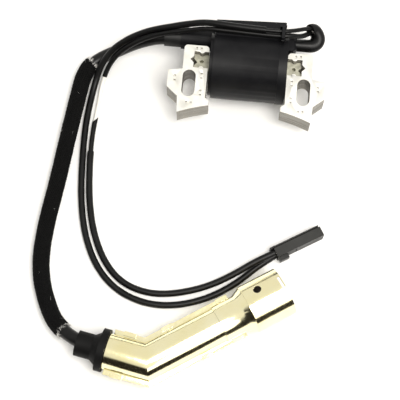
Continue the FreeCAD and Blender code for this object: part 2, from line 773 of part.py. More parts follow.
def plug_clip():
    """The brass clip that snaps over the spark plug's terminal: a stem and a slit cup."""
    stem = Part.makeCylinder(2.1, 10.0, V(0, 0, 24.6))
    cup = Part.makeCylinder(4.6, 9.0, V(0, 0, 34.2))
    clip = stem.fuse(cup).removeSplitter().cut(Part.makeCylinder(3.6, 9.0, V(0, 0, 35.2)))
    slit_width = 0.9
    for size_x, size_y in ((12, slit_width), (slit_width, 12)):
        clip = clip.cut(Part.makeBox(size_x, size_y, 8, V(-size_x / 2, -size_y / 2, 37.0)))
    clip.Placement = FreeCAD.Placement(ELBOW, FreeCAD.Rotation(UP, ARM))
    return clip


def cap_boot():
    """The rubber boot on the lead: collar, cone, thin disc and a spigot into the cap."""
    collar = rod(6.2, inlet_point(35.0), inlet_point(27.0))
    cone = Part.makeCone(6.0, 8.6, 27.5 - 23.6, inlet_point(27.5), INLET)
    disc = rod(BOOT_DISC_RADIUS, inlet_point(23.8), inlet_point(INLET_LENGTH + 0.3))
    spigot = rod(SPIGOT_RADIUS, inlet_point(INLET_LENGTH + 0.3), inlet_point(14.0))
    boot = collar.fuse([cone, disc, spigot]).removeSplitter()
    return boot


# Wire connector

def plug_block(start, end, right, left, low, high):
    """A box in the connector's own directions."""
    corners = [plug_point(s, n, 0) for s, n in ((start, right), (end, right), (end, left), (start, left))]
    return prism([(corner.x, corner.y) for corner in corners], FLOOR_Z + low, FLOOR_Z + high)


def connector_housing():
    """The two-way housing with its guide rail, rear wing, latch recess and two ways."""
    right, left = PLUG_BODY
    body = plug_block(0, PLUG_LENGTH, right, left, 0, PLUG_HEIGHT)
    rail = plug_block(0.6, PLUG_LENGTH - 0.4, PLUG_RAIL[0], PLUG_RAIL[1], 1.2, PLUG_HEIGHT - 1.0)
    groove = plug_block(-1, PLUG_LENGTH + 1, PLUG_RAIL[0], PLUG_RAIL[0] + 0.5, 5.2, PLUG_HEIGHT + 1)
    wing = plug_block(-1.6, 1.0, 2.2, 3.2, 1.5, 7.5)
    housing = body.fuse([rail, wing]).removeSplitter().cut(groove)
    housing = housing.cut(plug_block(-1, 10.6, right - 1, right + LATCH_RECESS, 2.0, 7.0))
    housing = housing.cut(latch_hinge(LATCH_ROOT_RADIUS + 0.05, 2.0, 7.0))
    for height in WAY_HEIGHTS:
        way = plug_block(3.0, PLUG_LENGTH + 1, WAY_OFFSET - 1.3, WAY_OFFSET + 1.3, height - 1.6, height + 1.6)
        housing = housing.cut(way)
    return housing


def latch_hinge(radius, low, high):
    """A round bar on the latch's hinge line."""
    s, n = LATCH_AXIS
    return rod(radius, plug_point(s, n, low), plug_point(s, n, high))


def connector_latch():
    """The latch lever in the housing's side: its thumb pad stands proud at the rear."""
    right = PLUG_BODY[0]
    arm = plug_block(0.2, 10.2, right, right + LATCH_THICKNESS, 2.3, 6.7)
    pad = plug_block(0.4, 5.4, right - 2.0, right, 2.3, 6.7)
    neck = plug_block(9.5, 10.1, right, LATCH_AXIS[1], 2.3, 6.7)
    return arm.fuse([pad, neck, latch_hinge(LATCH_ROOT_RADIUS, 2.3, 6.7)]).removeSplitter()


def connector_terminal(height):
    """A receptacle crimped on its wire: a barrel at the rear and a slotted box in front."""
    barrel = tube(1.25, 0.95, plug_point(3.2, WAY_OFFSET, height), plug_point(7.4, WAY_OFFSET, height))
    neck = plug_block(7.0, 11.0, WAY_OFFSET - 0.5, WAY_OFFSET + 0.5, height - 1.2, height - 0.7)
    shell = plug_block(11.0, 23.0, WAY_OFFSET - 1.1, WAY_OFFSET + 1.1, height - 1.3, height + 1.3)
    shell = shell.cut(plug_block(10, 24, WAY_OFFSET - 0.7, WAY_OFFSET + 0.7, height - 0.9, height + 0.9))
    return barrel.fuse([neck, shell]).removeSplitter()


def build():
    """Make every piece and write it."""
    os.makedirs("parts", exist_ok=True)
    leg = core_leg()
    save("core_leg_right", leg)
    save("core_leg_left", mirrored(leg))
    save("core_bar", core_bar())
    save("primary_bobbin", primary_bobbin())
    save("primary_winding", primary_winding())
    save("secondary_bobbin", secondary_bobbin())
    save("secondary_winding", secondary_winding())

    wire_1 = cord("primary_wire_1", WIRE_1, WIRE_DIAMETER)
    wire_2 = cord("primary_wire_2", WIRE_2, WIRE_DIAMETER)
    save("primary_wire_1", wire_1)
    save("primary_wire_2", wire_2)
    sleeves = {
        "exit_sleeve": (stretch(EXIT_ROUTE, 0, 0.52, 6, 0.5), EXIT_SLEEVE_DIAMETER, EXIT_SLEEVE_BORE),
        "wire_sleeve_1": (stretch(WIRE_1, 11, 0.5, 33, 0.82), THICK_SLEEVE_DIAMETER, WIRE_DIAMETER),
        "wire_sleeve_2_upper": (stretch(WIRE_2, 7, 0.45, 20, 0.46), THIN_SLEEVE_DIAMETER, WIRE_DIAMETER),
        "wire_sleeve_2_thin": (stretch(WIRE_2, 22, 0.4, 23, 0.5), THIN_SLEEVE_DIAMETER, WIRE_DIAMETER),
        "wire_sleeve_2_lower": (stretch(WIRE_2, 23, 0.5, 33, 0.82), THICK_SLEEVE_DIAMETER, WIRE_DIAMETER),
        "lead_braid": (stretch(LEAD_ROUTE, 4, 0.5, 13, 0.37), BRAID_DIAMETER, LEAD_DIAMETER),
    }
    for name, (path, diameter, bore) in sleeves.items():
        sleeve = hollow_sweep(path, diameter, bore)
        ideal = math.pi * (diameter ** 2 - bore ** 2) / 4 * path.Length
        print(f"{name}: length {path.Length:.1f}, volume / ideal {sleeve.Volume / ideal:.4f}")
        save(name, sleeve)

    inside = [control_board(), power_transistor(), base_resistor(), hv_terminal()]
    save("control_board", inside[0])
    save("power_transistor", inside[1])
    save("base_resistor", inside[2])
    save("hv_terminal", inside[3])
    save("potting_fill", potting(inside))
    save("coil_case", case_shell())

    lead = cord("hv_lead", LEAD_ROUTE, LEAD_DIAMETER)
    save("lead_gland", lead_gland().cut(lead))
    save("cap_boot", cap_boot().cut(lead))
    lead = lead.cut(hv_terminal()).cut(rod(1.05, inlet_point(22.0), inlet_point(10.0)))
    save("hv_lead", lead)

    save("shield_upper", shield_half(True))
    save("shield_lower", shield_lower())
    save("shield_socket", shield_socket())
    save("socket_seal", socket_seal())
    save("cap_insulator", cap_insulator())
    save("lead_screw", lead_screw())
    save("suppressor_resistor", suppressor_resistor())
    save("resistor_spring", resistor_spring())
    save("plug_clip", plug_clip())

    housing = connector_housing().cut([wire_1, wire_2])
    for route in (WIRE_1, WIRE_2):
        housing = housing.cut(sweep(stretch(route, 31, 0.5, 33, 0.82), THICK_SLEEVE_DIAMETER))
    save("connector_housing", housing)
    save("connector_latch", connector_latch())
    for number, height in enumerate(WAY_HEIGHTS, 1):
        save(f"connector_terminal_{number}", connector_terminal(height))


build()
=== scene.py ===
import math
import random

import bmesh
import bpy
import numpy as np
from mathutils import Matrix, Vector


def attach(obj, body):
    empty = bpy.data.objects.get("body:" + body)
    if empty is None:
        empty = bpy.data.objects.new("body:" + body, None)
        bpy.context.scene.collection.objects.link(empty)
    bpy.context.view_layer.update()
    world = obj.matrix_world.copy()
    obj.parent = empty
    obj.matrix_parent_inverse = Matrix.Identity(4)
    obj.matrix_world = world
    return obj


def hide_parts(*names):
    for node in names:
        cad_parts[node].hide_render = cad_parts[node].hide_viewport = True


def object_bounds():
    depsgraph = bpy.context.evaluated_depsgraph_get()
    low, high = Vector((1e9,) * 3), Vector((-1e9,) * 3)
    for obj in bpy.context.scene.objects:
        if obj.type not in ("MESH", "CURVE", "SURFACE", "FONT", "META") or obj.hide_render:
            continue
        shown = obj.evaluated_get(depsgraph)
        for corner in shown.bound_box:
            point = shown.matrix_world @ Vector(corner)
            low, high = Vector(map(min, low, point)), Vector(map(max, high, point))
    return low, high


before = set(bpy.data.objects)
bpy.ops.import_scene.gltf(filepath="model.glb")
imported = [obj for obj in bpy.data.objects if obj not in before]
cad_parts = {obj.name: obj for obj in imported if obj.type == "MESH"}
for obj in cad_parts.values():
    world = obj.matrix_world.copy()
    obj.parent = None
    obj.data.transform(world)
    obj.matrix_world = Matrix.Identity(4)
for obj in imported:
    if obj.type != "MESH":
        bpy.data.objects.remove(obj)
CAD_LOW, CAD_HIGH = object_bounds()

FLOOR_Z = CAD_LOW.z
ROOT, CAP, LATCH = "coil", "plug_cap", "latch"
rng = random.Random(7)


# Camera ------------------------------------------------------------------------------------------

CAMERA_AT = Vector((-0.0032, -0.2136, 0.5785))
CAMERA_LOOKS_AT = Vector((-0.01796, -0.05260, -0.0120))
CAMERA_LENS = 109.4
CAMERA_SENSOR = 36.0


def make_camera():
    """The photographer's place: nearly overhead, a little in front."""
    data = bpy.data.cameras.new("camera")
    data.lens = CAMERA_LENS
    data.sensor_width = CAMERA_SENSOR
    data.clip_start = 0.01
    camera = bpy.data.objects.new("camera", data)
    camera.location = CAMERA_AT
    camera.rotation_mode = "QUATERNION"
    camera.rotation_quaternion = (CAMERA_LOOKS_AT - CAMERA_AT).to_track_quat("-Z", "Y")
    bpy.context.collection.objects.link(camera)
    bpy.context.scene.camera = camera


make_camera()


# Cord routes -------------------------------------------------------------------------------------

LEAD_ROUTE = [
    (-0.0290, 0.0263, 0.0065),
    (-0.0435, 0.0263, 0.0064),
    (-0.0570, 0.0241, 0.0012),
    (-0.0670, 0.0209, -0.0046),
    (-0.0765, 0.0168, -0.0075),
    (-0.0833, 0.0099, -0.0078),
    (-0.0854, -0.0080, -0.0078),
    (-0.0878, -0.0290, -0.0077),
    (-0.0900, -0.0510, -0.0078),
    (-0.0928, -0.0720, -0.0078),
    (-0.0936, -0.0890, -0.0077),
    (-0.0916, -0.1020, -0.0077),
    (-0.0872, -0.1133, -0.0072),
    (-0.0818, -0.1228, -0.0054),
    (-0.0708, -0.1304, -0.0008),
    (-0.05932, -0.13367, 0.0000),
    (-0.04915, -0.13555, 0.0000),
]
EXIT_ROUTE = [
    (0.0162, 0.0263, 0.0094),
    (0.0224, 0.0263, 0.0094),
    (0.0270, 0.02635, 0.0094),
    (0.0311, 0.0265, 0.0094),
    (0.0331, 0.0279, 0.0099),
    (0.0339, 0.0303, 0.0108),
    (0.0331, 0.0327, 0.0120),
    (0.0311, 0.0341, 0.0133),
]
WIRE_1_ROUTE = [
    (0.0276, 0.0326, 0.0166),
    (0.0232, 0.0302, 0.0194),
    (0.0184, 0.0282, 0.0216),
    (0.0120, 0.0276, 0.0220),
    (0.0030, 0.0278, 0.0220),
    (-0.0105, 0.0284, 0.0220),
    (-0.0215, 0.0296, 0.0212),
    (-0.0310, 0.0302, 0.0160),
    (-0.0412, 0.0286, 0.0136),
    (-0.0514, 0.0272, 0.0099),
    (-0.0610, 0.0242, 0.0056),
    (-0.0692, 0.0194, 0.0010),
    (-0.0748, 0.0124, -0.0040),
    (-0.0776, 0.0034, -0.0100),
    (-0.0791, -0.0090, -0.0103),
    (-0.0798, -0.0240, -0.0103),
    (-0.0789, -0.0430, -0.0103),
    (-0.0773, -0.0600, -0.0103),
    (-0.0732, -0.0770, -0.0103),
    (-0.0662, -0.0916, -0.0103),
    (-0.0552, -0.1026, -0.0103),
    (-0.0406, -0.1082, -0.0103),
    (-0.0250, -0.1079, -0.0103),
    (-0.0095, -0.1028, -0.0103),
    (0.0040, -0.0939, -0.0103),
    (0.01394, -0.08397, -0.0101),
    (0.02422, -0.07623, -0.0096),
]
WIRE_2_ROUTE = [
    (0.0286, 0.0310, 0.0134),
    (0.0250, 0.0284, 0.0158),
    (0.0204, 0.0269, 0.0194),
    (0.0145, 0.0261, 0.0195),
    (0.0040, 0.0263, 0.0194),
    (-0.0105, 0.0268, 0.0194),
    (-0.0220, 0.0271, 0.0193),
    (-0.0308, 0.0270, 0.0152),
    (-0.0406, 0.0258, 0.0134),
    (-0.0502, 0.0242, 0.0098),
    (-0.0589, 0.0212, 0.0058),
    (-0.0666, 0.0168, 0.0008),
    (-0.0716, 0.0110, -0.0048),
    (-0.0740, 0.0020, -0.0103),
    (-0.0746, -0.0100, -0.0104),
    (-0.0758, -0.0240, -0.0103),
    (-0.0751, -0.0420, -0.0103),
    (-0.0732, -0.0590, -0.0103),
    (-0.0690, -0.0756, -0.0103),
    (-0.0619, -0.0896, -0.0103),
    (-0.0522, -0.0990, -0.0103),
    (-0.0395, -0.1029, -0.0103),
    (-0.0265, -0.1020, -0.0102),
    (-0.0115, -0.0976, -0.0096),
    (0.0020, -0.0902, -0.0079),
    (0.01313, -0.08225, -0.0060),
    (0.02422, -0.07623, -0.0053),
]
WIRE_LIFT = 0.00125
LEAD_RADIUS = 0.0033
WIRE_RADIUS = 0.00105
WIRE_1 = [(x, y, z + WIRE_LIFT) for x, y, z in EXIT_ROUTE] + WIRE_1_ROUTE
WIRE_2 = [(x, y, z - WIRE_LIFT) for x, y, z in EXIT_ROUTE] + WIRE_2_ROUTE


def cord_curve(name, route, radius):
    """A smooth NURBS cord with the route's points as its control points."""
    data = bpy.data.curves.new(name, "CURVE")
    data.dimensions = "3D"
    data.resolution_u = 16
    data.bevel_depth = radius
    data.bevel_resolution = 7
    data.use_fill_caps = True
    spline = data.splines.new("NURBS")
    spline.points.add(len(route) - 1)
    for point, place in zip(spline.points, route):
        point.co = (*place, 1.0)
    spline.order_u = 3
    spline.use_endpoint_u = True
    cord = bpy.data.objects.new(name, data)
    bpy.context.collection.objects.link(cord)
    return cord


class Track:
    """A cord's centreline with a frame that doesn't twist, for the pieces that lie along it."""

    def __init__(self, points):
        self.points = np.array(points)
        steps = np.linalg.norm(np.diff(self.points, axis=0), axis=1)
        self.lengths = np.concatenate([[0.0], np.cumsum(steps)])
        self.length = self.lengths[-1]
        tangents = np.gradient(self.points, self.lengths, axis=0)
        self.tangents = tangents / np.linalg.norm(tangents, axis=1)[:, None]
        side = np.cross(self.tangents[0], (0.0, 0.0, 1.0))
        sides = []
        for tangent in self.tangents:
            side = side - tangent * side.dot(tangent)
            side = side / np.linalg.norm(side)
            sides.append(side)
        self.sides = np.array(sides)

    def at(self, distances):
        """Places, side vectors and upward vectors at some distances along the cord."""
        distances = np.atleast_1d(distances)
        place, side, tangent = (
            np.stack([np.interp(distances, self.lengths, values[:, i]) for i in range(3)], axis=1)
            for values in (self.points, self.sides, self.tangents)
        )
        side /= np.linalg.norm(side, axis=1)[:, None]
        other = np.cross(side, tangent)
        other /= np.linalg.norm(other, axis=1)[:, None]
        return place, side, other

    def nearest(self, place):
        """The distance along the cord of its nearest point to a place."""
        gaps = np.linalg.norm(self.points - np.array(place), axis=1)
        return float(self.lengths[gaps.argmin()])


def track_of(cord):
    """The centreline that Blender draws for a cord, read with no bevel."""
    bare = cord.copy()
    bare.data = cord.data.copy()
    bare.data.bevel_depth = 0.0
    bpy.context.collection.objects.link(bare)
    graph = bpy.context.evaluated_depsgraph_get()
    mesh = bpy.data.meshes.new_from_object(bare.evaluated_get(graph))
    points = [tuple(vertex.co) for vertex in mesh.vertices]
    data = bare.data
    bpy.data.objects.remove(bare)
    bpy.data.curves.remove(data)
    bpy.data.meshes.remove(mesh)
    return Track(points)


def span(node, track):
    """Where a CAD sleeve starts and ends along its cord."""
    places = [track.nearest(vertex.co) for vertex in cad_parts[node].data.vertices]
    return min(places), max(places)


lead = cord_curve("high_tension_lead", LEAD_ROUTE, LEAD_RADIUS)
wire_1 = cord_curve("black_wire", WIRE_1, WIRE_RADIUS)
wire_2 = cord_curve("white_wire", WIRE_2, WIRE_RADIUS)
lead_track, wire_1_track, wire_2_track = (track_of(cord) for cord in (lead, wire_1, wire_2))


# Finishes ----------------------------------------------------------------------------------------

NOISE_ROUGHNESS = 0.55


class Finish:
    """A procedural material; what varies over the surface is linked, what doesn't is a plain value."""

    def __init__(self, name, color, roughness, metallic=0.0, specular=0.5):
        self.material = bpy.data.materials.new(name)
        self.material.use_nodes = True
        self.tree = self.material.node_tree
        self.shader = self.tree.nodes["Principled BSDF"]
        self.shader.inputs["Base Color"].default_value = (*color, 1.0)
        self.shader.inputs["Roughness"].default_value = roughness
        self.shader.inputs["Metallic"].default_value = metallic
        self.shader.inputs["Specular IOR Level"].default_value = specular
        self.place = self.tree.nodes.new("ShaderNodeTexCoord").outputs["Object"]
        self.bump = None

    def set(self, **values):
        """Uniform values on the shader's own sockets, with _ for a space in a socket's name."""
        for name, value in values.items():
            self.shader.inputs[name.replace("_", " ")].default_value = value
        return self

    def node(self, kind, sockets, **settings):
        """A node with some settings, and sockets that take a value or another node's output."""
        node = self.tree.nodes.new("ShaderNode" + kind)
        for name, value in settings.items():
            setattr(node, name, value)
        for name, value in sockets.items():
            if isinstance(value, bpy.types.NodeSocket):
                self.tree.links.new(value, node.inputs[name])
            else:
                node.inputs[name].default_value = value
        return node

    def stretched(self, scale):
        """Places scaled by a different amount along each axis."""
        return self.node("Mapping", {"Vector": self.place, "Scale": scale}).outputs["Vector"]

    def noise(self, per_metre, detail, place=None):
        """Noise with so many features to the metre."""
        sockets = {
            "Vector": place or self.place,
            "Scale": per_metre,
            "Detail": detail,
            "Roughness": NOISE_ROUGHNESS,
        }
        return self.node("TexNoise", sockets).outputs["Fac"]

    def ramp(self, value, low, high, first, last):
        """A value turned into a colour between two stops."""
        node = self.node("ValToRGB", {"Fac": value})
        for stop, position, color in zip(node.color_ramp.elements, (low, high), (first, last)):
            stop.position = position
            stop.color = (*color, 1.0)
        return node.outputs["Color"]

    def colors(self, value, low, high, first, last):
        """The base colour varies between two colours."""
        self.tree.links.new(self.ramp(value, low, high, first, last), self.shader.inputs["Base Color"])
        return self

    def gloss(self, value, low, high):
        """The roughness varies between two values."""
        sockets = {"Value": value, "To Min": low, "To Max": high}
        result = self.node("MapRange", sockets).outputs["Result"]
        self.tree.links.new(result, self.shader.inputs["Roughness"])
        return self

    def relief(self, height, strength, distance):
        """Adds a bump, on top of any earlier one."""
        sockets = {"Height": height, "Strength": strength, "Distance": distance}
        if self.bump:
            sockets["Normal"] = self.bump
        self.bump = self.node("Bump", sockets).outputs["Normal"]
        self.tree.links.new(self.bump, self.shader.inputs["Normal"])
        return self


def core_steel():
    """Bright punched steel, a little yellowed, with drawn grain on its sides."""
    finish = Finish("core_steel", (0.86, 0.84, 0.76), 0.34, metallic=1.0)
    finish.colors(finish.noise(160, 5), 0.35, 0.68, (0.98, 0.97, 0.93), (0.90, 0.88, 0.79))
    finish.gloss(finish.noise(900, 4), 0.26, 0.46)
    finish.relief(finish.noise(1, 2, finish.stretched((90, 2600, 400))), 0.25, 0.00003)
    return finish.relief(finish.noise(5200, 3), 0.25, 0.00002).material


def edge_steel():
    """The cut edges of the laminations: duller, each sheet a slightly different grey."""
    finish = Finish("lamination_edges", (0.36, 0.34, 0.30), 0.5, metallic=0.6)
    sheets = finish.noise(1, 2, finish.stretched((60, 60, 2100)))
    finish.colors(sheets, 0.36, 0.66, (0.20, 0.19, 0.17), (0.40, 0.38, 0.34))
    finish.gloss(finish.noise(1400, 3), 0.38, 0.62)
    return finish.relief(sheets, 0.5, 0.00005).material


def bar_steel():
    """The bar's phosphated, greenish steel."""
    finish = Finish("bar_steel", (0.60, 0.59, 0.48), 0.55, metallic=0.7)
    finish.colors(finish.noise(420, 6), 0.32, 0.70, (0.60, 0.59, 0.48), (0.36, 0.35, 0.28))
    finish.gloss(finish.noise(1500, 3), 0.45, 0.68)
    return finish.relief(finish.noise(4200, 4), 0.4, 0.00004).material


def moulded(name, dark, light, low, high, grain=3600, depth=0.00003, specular=0.5):
    """A moulded plastic or rubber: fine grain, faint flow marks and uneven gloss."""
    finish = Finish(name, light, high, specular=specular)
    finish.colors(finish.noise(95, 4), 0.35, 0.70, dark, light)
    finish.gloss(finish.noise(240, 5), low, high)
    finish.relief(finish.noise(60, 2), 0.12, 0.0003)
    return finish.relief(finish.noise(grain, 3), 0.35, depth)


def braid_yarn(name, dark, light):
    """Yarn with its filaments running every way at yarn scale, matt with a soft sheen."""
    finish = Finish(name, light, 0.82, specular=0.06)
    finish.set(Sheen_Weight=0.02, Sheen_Roughness=0.4)
    finish.colors(finish.noise(1900, 4), 0.38, 0.66, dark, light)
    finish.relief(finish.noise(1, 3, finish.stretched((9000, 2200, 9000))), 0.6, 0.00006)
    return finish.material


def tinned_sheet():
    """Bright tinned sheet, warm in tone, slightly rippled by the press, with fine rubbed marks."""
    finish = Finish("tinned_sheet", (0.98, 0.90, 0.52), 0.12, metallic=1.0)
    finish.colors(finish.noise(48, 4), 0.34, 0.68, (1.0, 0.94, 0.64), (0.97, 0.88, 0.50))
    finish.gloss(finish.noise(1, 4, finish.stretched((900, 350, 350))), 0.07, 0.22)
    finish.relief(finish.noise(110, 2), 0.18, 0.0005)
    return finish.relief(finish.noise(1, 3, finish.stretched((5200, 900, 900))), 0.10, 0.00001).material


def metal(name, dark, light, low, high):
    """A plain bright metal with stains and fine grain."""
    finish = Finish(name, light, low, metallic=1.0)
    finish.colors(finish.noise(500, 5), 0.35, 0.68, dark, light)
    finish.gloss(finish.noise(1300, 3), low, high)
    return finish.relief(finish.noise(5000, 3), 0.2, 0.00002).material


def copper_turns():
    """Enamelled copper wire, wound round the X axis in fine turns."""
    finish = Finish("enamelled_copper", (0.62, 0.25, 0.10), 0.28, metallic=1.0)
    wave = finish.node("TexWave", {"Vector": finish.place, "Scale": 1250.0, "Distortion": 0.6},
                       bands_direction="X").outputs["Fac"]
    # Painted shade and highlight: the colour darkens in the grooves between turns and lightens on their
    # crests, following the bump.
    finish.colors(wave, 0.2, 0.8, (0.35, 0.12, 0.05), (0.72, 0.33, 0.14))
    return finish.relief(wave, 0.7, 0.0001).material


CORE = core_steel()
EDGES = edge_steel()
BAR = bar_steel()
CASE = moulded("case_plastic", (0.004, 0.004, 0.005), (0.009, 0.009, 0.010), 0.38, 0.50,
               specular=0.18).material
RESIN = moulded("potting_resin", (0.014, 0.012, 0.011), (0.03, 0.027, 0.024), 0.08, 0.25, 500,
                0.0001).material
BOBBIN = moulded("bobbin_plastic", (0.52, 0.49, 0.41), (0.66, 0.63, 0.55), 0.4, 0.6).material
BOARD = moulded("circuit_board", (0.02, 0.13, 0.05), (0.05, 0.22, 0.09), 0.35, 0.55, 6000).material
COMPONENT = moulded("component_plastic", (0.012, 0.012, 0.012), (0.03, 0.03, 0.03), 0.4, 0.6).material
CERAMIC = moulded("component_ceramic", (0.62, 0.50, 0.32), (0.76, 0.66, 0.48), 0.4, 0.6).material
LEAD = moulded("lead_silicone", (0.003, 0.003, 0.003), (0.007, 0.007, 0.007), 0.26, 0.40, 1800,
               specular=0.25).material
GLAND = moulded("gland_rubber", (0.006, 0.006, 0.006), (0.012, 0.012, 0.012), 0.34, 0.5,
                specular=0.28).material
BOOT = moulded("boot_rubber", (0.003, 0.003, 0.003), (0.006, 0.006, 0.006), 0.46, 0.66, 2600, 0.00006,
               specular=0.12).material
VINYL = moulded("sleeve_vinyl", (0.002, 0.002, 0.002), (0.005, 0.005, 0.005), 0.28, 0.45, 2400,
                specular=0.22).material
BLACK_WIRE = moulded("black_insulation", (0.003, 0.003, 0.003), (0.007, 0.007, 0.007), 0.28, 0.42,
                     specular=0.22).material
WHITE_WIRE = moulded("white_insulation", (0.80, 0.78, 0.72), (0.88, 0.87, 0.82), 0.30, 0.46).material
CONNECTOR = moulded("connector_nylon", (0.010, 0.010, 0.009), (0.020, 0.020, 0.018), 0.38, 0.55, 4200,
                    specular=0.3).material
PHENOLIC = moulded("insulator_resin", (0.014, 0.011, 0.010), (0.028, 0.022, 0.019), 0.22, 0.4).material
SEAL = moulded("seal_rubber", (0.014, 0.014, 0.014), (0.03, 0.03, 0.03), 0.5, 0.7).material
YARN = braid_yarn("braid_yarn", (0.002, 0.002, 0.002), (0.008, 0.008, 0.008))
FRAYED = braid_yarn("frayed_yarn", (0.62, 0.61, 0.58), (0.92, 0.91, 0.88))
TIN = tinned_sheet()
# Painted shade: the shield's inside faces get a dark, dull metal so the inside of the barrel and tubes reads
# as lying in shadow.
SHADE_PAINTED_TIN = metal("shield_inside_painted_shade", (0.10, 0.09, 0.075), (0.18, 0.16, 0.13), 0.45, 0.7)
BRASS = metal("brass", (0.55, 0.38, 0.14), (0.80, 0.62, 0.30), 0.22, 0.42)
PLATED = metal("plated_steel", (0.50, 0.49, 0.45), (0.72, 0.71, 0.68), 0.25, 0.45)
COPPER = copper_turns()


# Mesh helpers ------------------------------------------------------------------------------------

def add_piece(name, data, finish, body=ROOT, replaces=()):
    """Puts a finished mesh or curve in the scene as a piece of a body."""
    piece = bpy.data.objects.new(name, data) if not isinstance(data, bpy.types.Object) else data
    if piece.name not in bpy.context.collection.objects:
        bpy.context.collection.objects.link(piece)
    slots = piece.data.materials
    for number, material in enumerate(finish if isinstance(finish, (list, tuple)) else (finish,)):
        if number < len(slots):
            slots[number] = material
        else:
            slots.append(material)
    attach(piece, body)
    if replaces:
        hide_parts(*replaces)
    return piece


def smooth_mesh(name, vertices, faces, angle):
    """A mesh that is smooth except over its sharp edges."""
    data = bpy.data.meshes.new(name)
    data.from_pydata([tuple(v) for v in vertices], [], faces)
    data.polygons.foreach_set("use_smooth", [True] * len(data.polygons))
    data.set_sharp_from_angle(angle=math.radians(angle))
    return data


def ring_faces(count, around, closed=False):
    """Quads between rings of vertices, one after another; closed joins the last ring to the first."""
    faces = []
    for i in range(count if closed else count - 1):
        here, there = i * around, (i + 1) % count * around
        for j in range(around):
            k = (j + 1) % around
            faces.append((here + j, here + k, there + k, there + j))
    return faces


WELD_DISTANCE = 2e-6
FLAT_ANGLE = 0.6


def soften(node, finish, body=ROOT, *, width, angle=32.0, segments=2, change=None):
    """A CAD node's shape with small worn radii on its edges, in place of the node."""
    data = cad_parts[node].data.copy()
    data.name = node + "_finished"
    mesh = bmesh.new()
    mesh.from_mesh(data)
    bmesh.ops.remove_doubles(mesh, verts=mesh.verts, dist=WELD_DISTANCE)
    bmesh.ops.dissolve_limit(mesh, angle_limit=math.radians(FLAT_ANGLE),
                             verts=mesh.verts, edges=mesh.edges)
    if change:
        change(mesh)
    mesh.to_mesh(data)
    mesh.free()
    data.polygons.foreach_set("use_smooth", [True] * len(data.polygons))
    data.set_sharp_from_angle(angle=math.radians(angle))
    piece = bpy.data.objects.new(node + "_finished", data)
    bevel = piece.modifiers.new("worn_edges", "BEVEL")
    bevel.width = width
    bevel.segments = segments
    bevel.limit_method = "ANGLE"
    bevel.angle_limit = math.radians(angle)
    bevel.harden_normals = True
    bevel.miter_outer = "MITER_ARC"
    return add_piece(piece.name, piece, finish, body, (node,))


def finish_node(node, finish):
    """A CAD node that keeps its shape and gets a better finish."""
    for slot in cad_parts[node].material_slots:
        slot.material = finish


# Steel core --------------------------------------------------------------------------------------

LAMINATION = 0.0005
GROOVE_HALF = 0.00005
GROOVE_DEPTH = 0.00007
CUT_TOLERANCE = 1e-7
JOINT_TOLERANCE = 1e-6
LEVEL_NORMAL = 0.3


def laminate(mesh):
    """Cuts fine grooves round a leg where its sheets meet, and marks the sides as cut edges."""
    low = min(vertex.co.z for vertex in mesh.verts)
    high = max(vertex.co.z for vertex in mesh.verts)
    count = round((high - low) / LAMINATION)
    joints = [low + LAMINATION * i for i in range(1, count)]
    for joint in joints:
        for offset in (-GROOVE_HALF, 0.0, GROOVE_HALF):
            geometry = mesh.verts[:] + mesh.edges[:] + mesh.faces[:]
            bmesh.ops.bisect_plane(mesh, geom=geometry, dist=CUT_TOLERANCE,
                                   plane_co=(0, 0, joint + offset), plane_no=(0, 0, 1))
    mesh.normal_update()
    inward = {}
    for vertex in mesh.verts:
        if any(abs(vertex.co.z - joint) < JOINT_TOLERANCE for joint in joints):
            flat = [
                Vector((face.normal.x, face.normal.y, 0))
                for face in vertex.link_faces if abs(face.normal.z) < LEVEL_NORMAL
            ]
            if flat:
                inward[vertex] = sum(flat, Vector()).normalized()
    for vertex, normal in inward.items():
        vertex.co -= normal * GROOVE_DEPTH
    for face in mesh.faces:
        face.material_index = 1 if abs(face.normal.z) < 0.5 else 0


for leg in ("core_leg_left", "core_leg_right"):
    soften(leg, (CORE, EDGES), width=0.00012, angle=50, change=laminate)
soften("core_bar", BAR, width=0.0003)


# Coil case and gland -----------------------------------------------------------------------------

soften("coil_case", CASE, width=0.0004, angle=38)
finish_node("potting_fill", RESIN)
for node in ("primary_bobbin", "secondary_bobbin"):
    finish_node(node, BOBBIN)
for node in ("primary_winding", "secondary_winding"):
    finish_node(node, COPPER)
finish_node("control_board", BOARD)
finish_node("power_transistor", COMPONENT)
finish_node("base_resistor", CERAMIC)
finish_node("hv_terminal", BRASS)
soften("lead_gland", GLAND, width=0.0005)


# Lead and its braid ------------------------------------------------------------------------------

add_piece("high_tension_lead", lead, LEAD, replaces=("hv_lead",))

BRAID_RADIUS = 0.00398
BRAID_CARRIERS = 20
BRAID_PITCH = 0.026
BRAID_WEAVE = 0.00013
YARN_HALF_WIDTH = 0.00056
YARN_HALF_HEIGHT = 0.00016
YARN_SIDES = 6
SAMPLES_PER_CROSSING = 3


